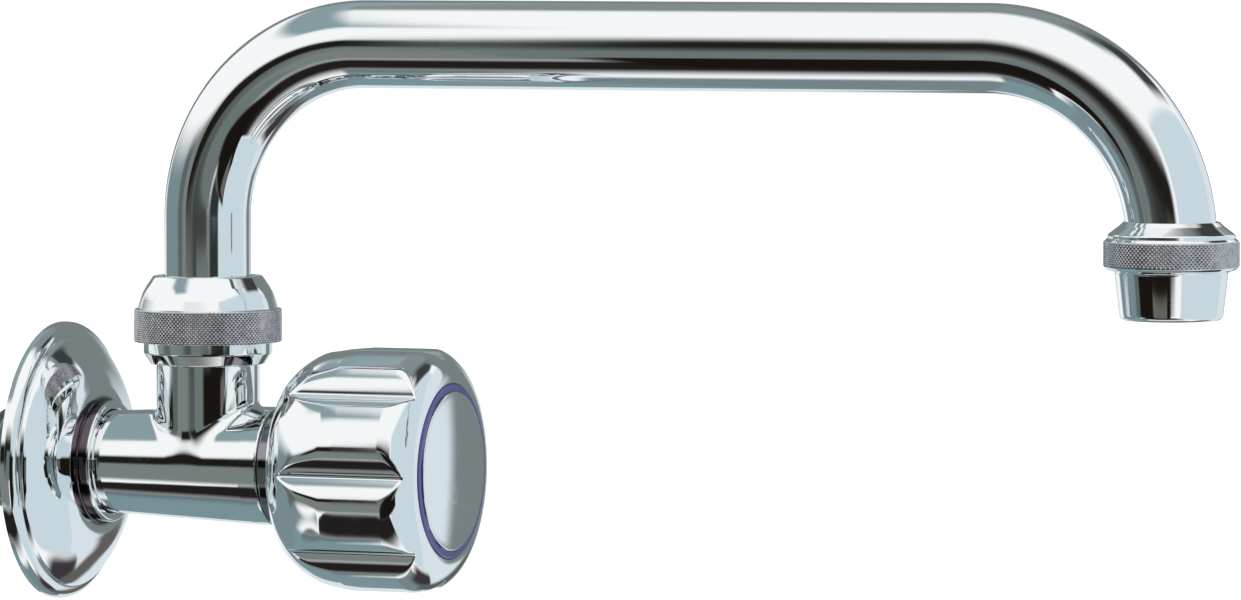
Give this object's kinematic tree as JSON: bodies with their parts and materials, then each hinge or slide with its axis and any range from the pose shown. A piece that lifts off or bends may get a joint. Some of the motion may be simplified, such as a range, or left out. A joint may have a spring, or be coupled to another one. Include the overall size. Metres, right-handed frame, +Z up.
{
  "type": "commercial wall faucet",
  "caption": "Wall-mounted single cold tap: chrome body and rose, lobed hand knob with a blue index ring, swivel swan-neck tube spout and knurled aerator.",
  "frame": {"origin": "on the axis of the body at the finished wall, where the threaded tail leaves the wall", "axes": "+X out of the wall along the body towards the knob, +Z up, +Y to the left of someone facing the wall from the room"},
  "size_m": [0.2695, 0.058, 0.1255],
  "materials": {
    "chrome_cast": "bright polished chrome plate over a brass casting",
    "chrome_tube": "bright polished chrome plate over drawn brass tube",
    "chrome_sheet": "bright polished chrome plate over spun brass sheet",
    "chrome_knob": "bright polished chrome plate over a zinc casting",
    "chrome_knurled": "chrome plate, knurled band with a satin break-up",
    "satin_cap": "smooth chrome plate on a pressed cap",
    "blue_ring": "glossy dark blue moulded plastic, the cold water index",
    "raw_brass": "plain turned brass",
    "stainless": "stainless steel, satin",
    "black_rubber": "black nitrile rubber",
    "white_nylon": "natural nylon",
    "grey_acetal": "grey moulded acetal"
  },
  "bodies": {
    "body": {"tap_body": "chrome_cast", "wall_rose": "chrome_sheet", "rose_grip_ring": "black_rubber", "valve_seat": "raw_brass", "bonnet": "raw_brass", "bonnet_gasket": "white_nylon", "trim_ring": "chrome_cast", "spindle_thrust_washer": "white_nylon", "spout_nut": "chrome_knurled", "spout_retaining_ring": "stainless", "spout_slip_washer": "white_nylon"},
    "handle": {"spindle": "raw_brass", "spindle_o_rings": "black_rubber", "spindle_circlip": "stainless", "knob_shell": "chrome_knob", "knob_insert": "white_nylon", "knob_index_ring": "blue_ring", "knob_cap": "satin_cap", "knob_screw": "stainless", "knob_lock_washer": "stainless"},
    "valve": {"valve_carrier": "raw_brass", "valve_washer": "black_rubber", "washer_plate": "raw_brass", "washer_screw": "stainless"},
    "spout": {"spout_tube": "chrome_tube", "spout_bush": "raw_brass", "spout_o_rings": "black_rubber", "aerator_ferrule": "chrome_cast", "aerator_housing": "chrome_knurled", "aerator_seal": "black_rubber", "aerator_jet_plate": "grey_acetal", "aerator_screens": "stainless", "aerator_straightener": "grey_acetal"}
  },
  "joints": [
    {"name": "spout_swivel", "type": "hinge", "parent": "body", "child": "spout", "pos_m": [0.034, 0, 0.0308], "axis": [0, 0, 1], "range_deg": [-90, 90]},
    {"name": "handle_turn", "type": "hinge", "parent": "body", "child": "handle", "pos_m": [0.06, 0, 0], "axis": [1, 0, 0], "range_deg": [0, 900]},
    {"name": "valve_lift", "type": "slide", "parent": "body", "child": "valve", "axis": [1, 0, 0], "range_m": [0, 0.0051]}
  ],
  "couplings": [
    {"joint": "valve_lift", "follows": "handle_turn", "m_per_rad": 0.00031831}
  ]
}
